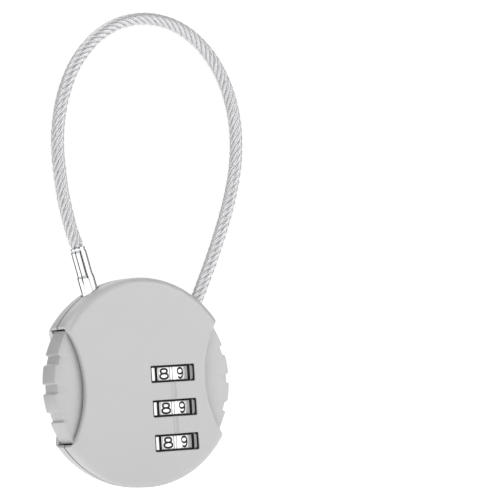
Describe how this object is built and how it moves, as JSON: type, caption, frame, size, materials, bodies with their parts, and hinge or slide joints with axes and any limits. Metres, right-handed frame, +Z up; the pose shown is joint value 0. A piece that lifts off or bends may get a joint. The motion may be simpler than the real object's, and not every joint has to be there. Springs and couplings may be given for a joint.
{
  "type": "cable luggage lock",
  "caption": "Round flat combination lock in silver with number dials in windows, a ridged push button on each side and a loop of clear-sheathed steel cable with a chrome ferrule.",
  "frame": {"origin": "under the crown of the cable loop, where the zip pulls hang", "axes": "+Z up along the hanging lock, +Y from the face with the dials to the back, +X to the right seen from the face"},
  "size_m": [0.0478, 0.0149, 0.0958],
  "materials": {
    "satin_silver": "satin silver paint on zinc castings",
    "chrome": "bright chrome plate",
    "steel": "bright zinc-plated steel",
    "brass": "plain turned brass",
    "white_plastic": "white moulded plastic with printed digits",
    "black_plastic": "black moulded plastic",
    "sheathed_cable": "twisted steel strands in a clear plastic sheath"
  },
  "bodies": {
    "case": {"front_case": "satin_silver", "rear_case": "satin_silver", "case_rivet_1": "steel", "case_rivet_2": "steel", "case_rivet_3": "steel", "dial_carrier": "black_plastic", "dial_leaf_spring": "steel", "left_button_spring": "steel", "right_button_spring": "steel", "spindle_spring": "steel", "reset_spring": "steel", "latch_clip": "steel", "pin_socket": "brass", "ejector_barrel": "brass", "ejector_plunger": "white_plastic", "ejector_spring": "steel", "cable_anchor": "steel", "cable": "sheathed_cable"},
    "left_push": {"left_button": "satin_silver", "clip_spreader": "brass"},
    "right_push": {"right_button": "satin_silver", "spindle_wedge": "brass"},
    "spindle_slide": {"spindle": "steel"},
    "wheel_1": {"dial_1": "white_plastic", "clutch_sleeve_1": "brass"},
    "wheel_2": {"dial_2": "white_plastic", "clutch_sleeve_2": "brass"},
    "wheel_3": {"dial_3": "white_plastic", "clutch_sleeve_3": "brass"},
    "cable_end": {"locking_pin": "steel", "ferrule": "chrome"},
    "reset_push": {"reset_button": "black_plastic"}
  },
  "joints": [
    {"name": "left_button_press", "type": "slide", "parent": "case", "child": "left_push", "axis": [1, 0, 0], "range_m": [0, 0.0012], "stiffness_N_per_m": 800, "springref_m": -0.002, "deforming": ["left_button_spring", "latch_clip"]},
    {"name": "right_button_press", "type": "slide", "parent": "case", "child": "right_push", "axis": [-1, 0, 0], "range_m": [0, 0.0012], "stiffness_N_per_m": 800, "springref_m": -0.002, "deforming": ["right_button_spring"]},
    {"name": "spindle_lift", "type": "slide", "parent": "case", "child": "spindle_slide", "axis": [0, 0, 1], "range_m": [0, 0.0012], "deforming": ["spindle_spring"]},
    {"name": "dial_1_turn", "type": "hinge", "parent": "case", "child": "wheel_1", "pos_m": [0.00115, 0.00265, -0.07025], "axis": [0, 0, 1], "continuous": true, "deforming": ["dial_leaf_spring"]},
    {"name": "dial_2_turn", "type": "hinge", "parent": "case", "child": "wheel_2", "pos_m": [0.00115, 0.00265, -0.07715], "axis": [0, 0, 1], "continuous": true, "deforming": ["dial_leaf_spring"]},
    {"name": "dial_3_turn", "type": "hinge", "parent": "case", "child": "wheel_3", "pos_m": [0.00115, 0.00265, -0.08405], "axis": [0, 0, 1], "continuous": true, "deforming": ["dial_leaf_spring"]},
    {"name": "cable_release", "type": "slide", "parent": "case", "child": "cable_end", "axis": [-0.2368, 0, 0.9715], "range_m": [0, 0.014], "deforming": ["cable", "latch_clip"]},
    {"name": "reset_button_press", "type": "slide", "parent": "case", "child": "reset_push", "axis": [0, -1, 0], "range_m": [0, 0.001], "stiffness_N_per_m": 500, "springref_m": -0.001, "deforming": ["reset_spring"]}
  ],
  "couplings": [
    {"joint": "spindle_lift", "follows": "right_button_press", "ratio": 1}
  ]
}
